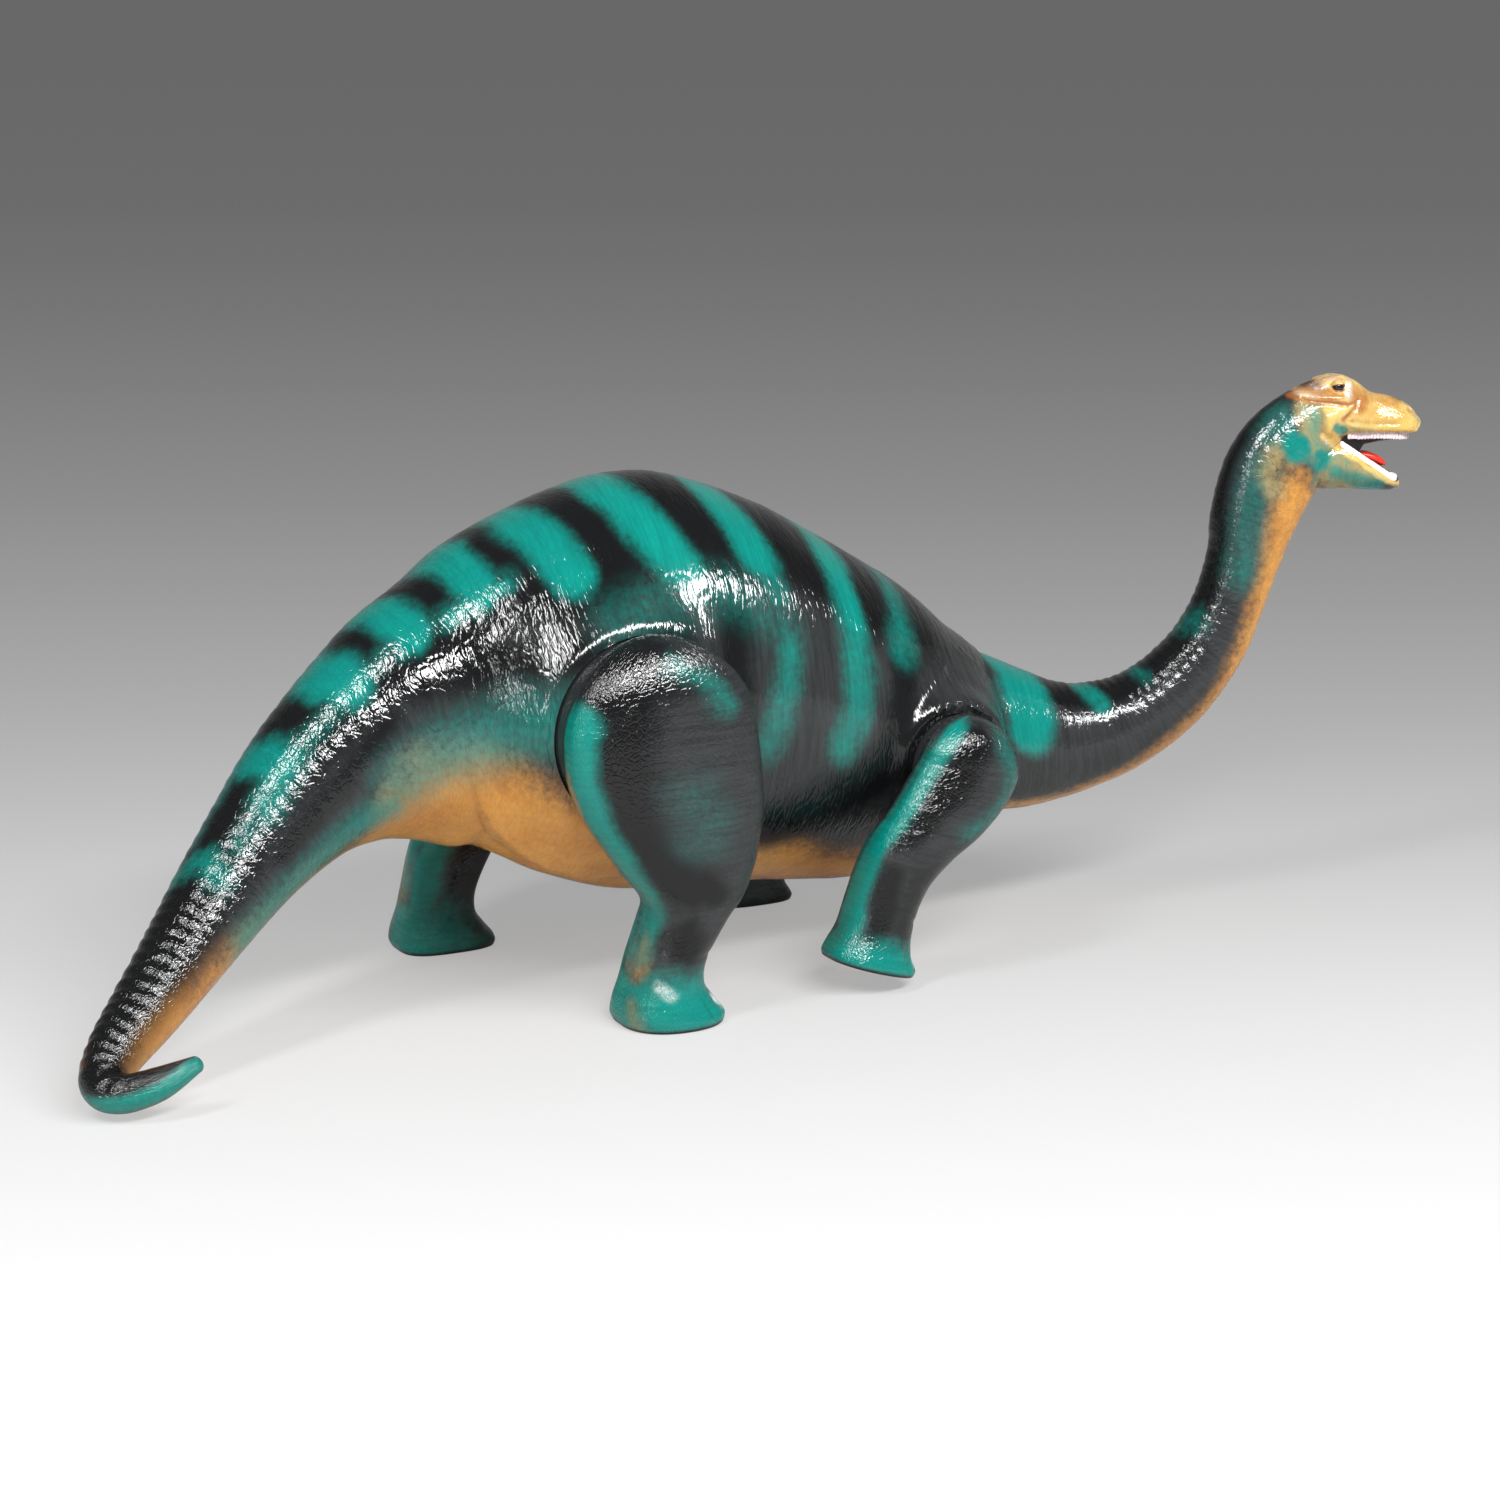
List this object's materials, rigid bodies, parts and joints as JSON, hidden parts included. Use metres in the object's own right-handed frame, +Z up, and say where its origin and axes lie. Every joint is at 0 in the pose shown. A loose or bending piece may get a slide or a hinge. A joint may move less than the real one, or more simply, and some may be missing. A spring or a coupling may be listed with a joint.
{
  "type": "toy dinosaur figure",
  "caption": "Hollow long-necked dinosaur toy with a turning neck, turning legs, an open toothed mouth and a curled tail",
  "frame": {"origin": "Middle of the figure's outline seen from above, at the level of the flat soles it stands on.", "axes": "+X runs along the torso towards the neck, +Y points to the toy's left, +Z is up."},
  "size_m": [0.4885, 0.1541, 0.1894],
  "materials": {
    "body_paint": "soft hollow plastic, sprayed teal with black stripes over an orange belly, glossy lacquer",
    "neck_paint": "the same plastic, black and teal over an orange front, with an ochre head",
    "leg_paint": "the same plastic, black in front and teal behind",
    "plug_plastic": "plain pale stiff plastic",
    "ring_plastic": "plain grey stiff plastic",
    "tooth_paint": "glossy off-white",
    "tongue_paint": "glossy red",
    "eye_paint": "glossy black"
  },
  "bodies": {
    "body": {"body_shell": "body_paint", "neck_washer": "ring_plastic", "right_hind_washer": "ring_plastic", "left_hind_washer": "ring_plastic", "right_front_washer": "ring_plastic", "left_front_washer": "ring_plastic"},
    "neck_and_head": {"neck_head_shell": "neck_paint", "neck_plug": "plug_plastic", "upper_teeth": "tooth_paint", "lower_teeth": "tooth_paint", "tongue": "tongue_paint", "right_eye": "eye_paint", "left_eye": "eye_paint"},
    "right_hind_leg": {"right_hind_leg_shell": "leg_paint", "right_hind_plug": "plug_plastic"},
    "left_hind_leg": {"left_hind_leg_shell": "leg_paint", "left_hind_plug": "plug_plastic"},
    "right_front_leg": {"right_front_leg_shell": "leg_paint", "right_front_plug": "plug_plastic"},
    "left_front_leg": {"left_front_leg_shell": "leg_paint", "left_front_plug": "plug_plastic"}
  },
  "joints": [
    {"name": "neck_swivel", "type": "hinge", "parent": "body", "child": "neck_and_head", "pos_m": [0.0975, 0, 0.06701], "axis": [0.9418, -0.306, 0.1392], "continuous": true},
    {"name": "right_hind_swing", "type": "hinge", "parent": "body", "child": "right_hind_leg", "pos_m": [-0.05853, 0, 0.0935], "axis": [0, 1, 0], "range_deg": [-20, 180]},
    {"name": "left_hind_swing", "type": "hinge", "parent": "body", "child": "left_hind_leg", "pos_m": [-0.05853, 0, 0.0935], "axis": [0, 1, 0], "range_deg": [-40, 180]},
    {"name": "right_front_swing", "type": "hinge", "parent": "body", "child": "right_front_leg", "pos_m": [0.05425, 0, 0.0705], "axis": [0, 1, 0], "range_deg": [-180, 15]},
    {"name": "left_front_swing", "type": "hinge", "parent": "body", "child": "left_front_leg", "pos_m": [0.05425, 0, 0.0705], "axis": [0, 1, 0], "range_deg": [-180, 20]}
  ]
}
